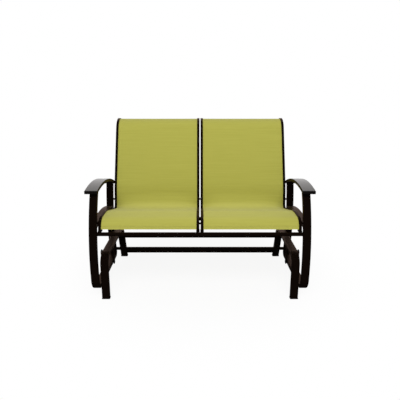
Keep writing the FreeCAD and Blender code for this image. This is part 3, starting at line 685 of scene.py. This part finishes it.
bridge_line = drawn_tight(cloth_line, bridge_across)
lift = np.sum((bridge_line - cloth_line) * cloth_front, axis=1)
bridged = drawn_tight(np.clip(lift / bridge_lift, 0, 1)[:, None], bridge_blend)
taut_line = drawn_tight(cloth_line, cut_across) * (1 - bridged) + bridge_line * bridged
first = int(np.argmax(cloth_line[:, 1] > front_hem_height))
last = len(cloth_line) - int(rear_hem_back / cloth_step)
cloth_line = cloth_line[first:last]
taut_line = taut_line[first:last]
along = np.arange(len(cloth_line)) * np.linalg.norm(cloth_line[1] - cloth_line[0])
from_end = np.minimum(along, along[-1] - along)
hem_share = 1 - np.clip((from_end - hem_width) / hem_slope, 0, 1)
cloth_thickness = cloth * (1 + hem_extra * hem_share) * np.sqrt(np.clip(from_end / fold_round, fold_least, 1))


def cloth_surface(columns):
    """Points of the cloth's upper side, and the directions out of it. Away from the rails it is drawn taut."""
    middle = (columns[0] + columns[-1]) / 2
    off_middle = np.abs((columns - middle) / ((columns[-1] - columns[0]) / 2))
    pull = np.clip(1 - off_middle ** held_edge_power, 0, 1)[None, :, None]
    places = cloth_line[:, None] * (1 - pull) + taut_line[:, None] * pull
    run = np.gradient(places, axis=0)
    run /= np.linalg.norm(run, axis=2)[:, :, None]
    flat = np.zeros((*places.shape[:2], 1))
    upper = np.concatenate([flat + columns[None, :, None], places], axis=2)
    return upper, np.concatenate([flat, -run[:, :, 1:], run[:, :, :1]], axis=2)


def seam(upper, out, place):
    """The stitches of one seam across the cloth, that far from its front edge."""
    row, share = divmod(place / (along[1] - along[0]), 1)
    line, front = [part[int(row), 1:-1] * (1 - share) + part[int(row) + 1, 1:-1] * share for part in (upper, out)]
    knots = evenly(line, stitch_length)
    front = np.stack([np.interp(knots[:-1, 0], line[:, 0], axis) for axis in front.T], axis=1)
    ahead = np.diff(knots, axis=0)
    beside = np.cross(ahead, front) / np.linalg.norm(ahead, axis=1)[:, None]
    turns = round_turns(stitch_sides)[None, :, None]
    section = stitch_radius * (np.cos(turns) * front[:, None] + np.sin(turns) * beside[:, None])
    rings = [(knots[:-1] + ahead * far + front * rise)[:, None] + section * size for far, size, rise in stitch_shape]
    return [skin(stitch) for stitch in np.stack(rings, axis=1)]


for side_name, side in sides:
    low, high = sorted((cloth_inner * side, cloth_outer * side))
    columns = np.concatenate([[low - cloth_grip], np.linspace(low, high, cloth_columns), [high + cloth_grip]])
    upper, out = cloth_surface(columns)
    lower = upper - out * cloth_thickness[:, None, None]
    rings = np.concatenate([upper, lower[:, ::-1]], axis=1)
    piece = new_piece(f"{side_name}_sling_cloth", [skin(rings)], sling_cloth, "seat",
                      [f"{side_name}_sling"])
    around = np.concatenate([columns, columns[::-1]])
    thread_map = piece.data.uv_layers.new(name="threads")
    for loop in piece.data.loops:
        row, column = divmod(loop.vertex_index, len(around))
        thread_map.data[loop.index].uv = (around[column], along[row])
    stitches = []
    for place in seam_places:
        stitches += seam(upper, out, place) + seam(upper, out, along[-1] - place)
    stitching = new_piece(f"{side_name}_hem_stitching", stitches, sewing_thread, "seat")

# The studio: a white paper floor below a white room, and one large soft lamp above and before the bench. In
# reflections the room in front of the bench is dim, and the paper and the wall behind it are bright.
paper_white = (0.92, 0.92, 0.92, 1)
paper_glow = 0.90
full_glow = (0.45, 1.1)
paper_corners = ((-12, -8, 0), (12, -8, 0), (12, 12, 0), (-12, 12, 0))
dim = (0.035, 0.035, 0.036, 1)
white = (1, 1, 1, 1)
bright_paper = (0.0, 1.8)
bright_wall = (0.0, 0.8)
ceiling_share = 0.3
room_level = (0.48, 0.48, 0.48, 1)
lamp_place = Vector((0, -3.2, 4.4))
lamp_aim = Vector((0, 0, 0.5))
lamp_width = 3.6
lamp_height = 2.0
lamp_power = 152

paper, wire = new_material("paper")
seen = wire.node("LightPath", output="Is Camera Ray")
mirrored = wire.node("LightPath", output="Is Glossy Ray")
place = wire.node("TexCoord", output="Object")
paper_in_coat = place.part("Y").between(*bright_paper).blend(dim, white)
from_bench = wire.node("VectorMath", {"operation": "LENGTH"}, {0: place}, output="Value")
glow = paper_glow + from_bench.between(*full_glow) * (1 - paper_glow)
wire.finish(wire.node("MixShader", inputs={
    0: wire.maths("MAXIMUM", seen * glow, mirrored),
    1: wire.node("BsdfDiffuse", inputs={"Color": paper_white}),
    2: wire.node("Emission", inputs={"Color": mirrored.blend(white, paper_in_coat)}),
}))

floor_mesh = bpy.data.meshes.new("floor")
floor_mesh.from_pydata(paper_corners, [], [(0, 1, 2, 3)])
floor_mesh.materials.append(paper)
floor = bpy.data.objects.new("floor", floor_mesh)
bpy.context.scene.collection.objects.link(floor)

world = bpy.data.worlds.new("studio")
world.use_nodes = True
world.node_tree.nodes.clear()
bpy.context.scene.world = world
wire = Wire(world.node_tree)
seen = wire.node("LightPath", output="Is Camera Ray")
mirrored = wire.node("LightPath", output="Is Glossy Ray")
direction = wire.node("TexCoord", output="Generated")
backwards = direction.part("Y") + direction.part("Z") * ceiling_share
room_in_coat = backwards.between(*bright_wall).blend(dim, white)
wire.finish(wire.node("Background", inputs={
    "Color": seen.blend(mirrored.blend(room_level, room_in_coat), white),
}), "OutputWorld")

soft_box = bpy.data.lights.new("above_front", "AREA")
soft_box.shape = "RECTANGLE"
soft_box.size = lamp_width
soft_box.size_y = lamp_height
soft_box.energy = lamp_power
lamp = bpy.data.objects.new("above_front", soft_box)
lamp.location = lamp_place
lamp.rotation_euler = (lamp_aim - lamp_place).to_track_quat("-Z", "Y").to_euler()
lamp.visible_glossy = False
bpy.context.scene.collection.objects.link(lamp)
bpy.context.scene.view_settings.view_transform = "Standard"

# The view: a camera on a stand at chest height, square to the middle of the bench and tipped a little down. Its
# place and lens come from a fit to the feet, the posts, the arms and the rolled top.
camera_place = (0, -2.4439, 1.1978)
camera_tilt = math.radians(73.3)
camera_lens = 36
camera_width = 36

camera_data = bpy.data.cameras.new("camera")
camera_data.sensor_width = camera_width
camera_data.lens = camera_lens
camera = bpy.data.objects.new("camera", camera_data)
camera.location = camera_place
camera.rotation_euler = (camera_tilt, 0, 0)
bpy.context.scene.collection.objects.link(camera)
bpy.context.scene.camera = camera
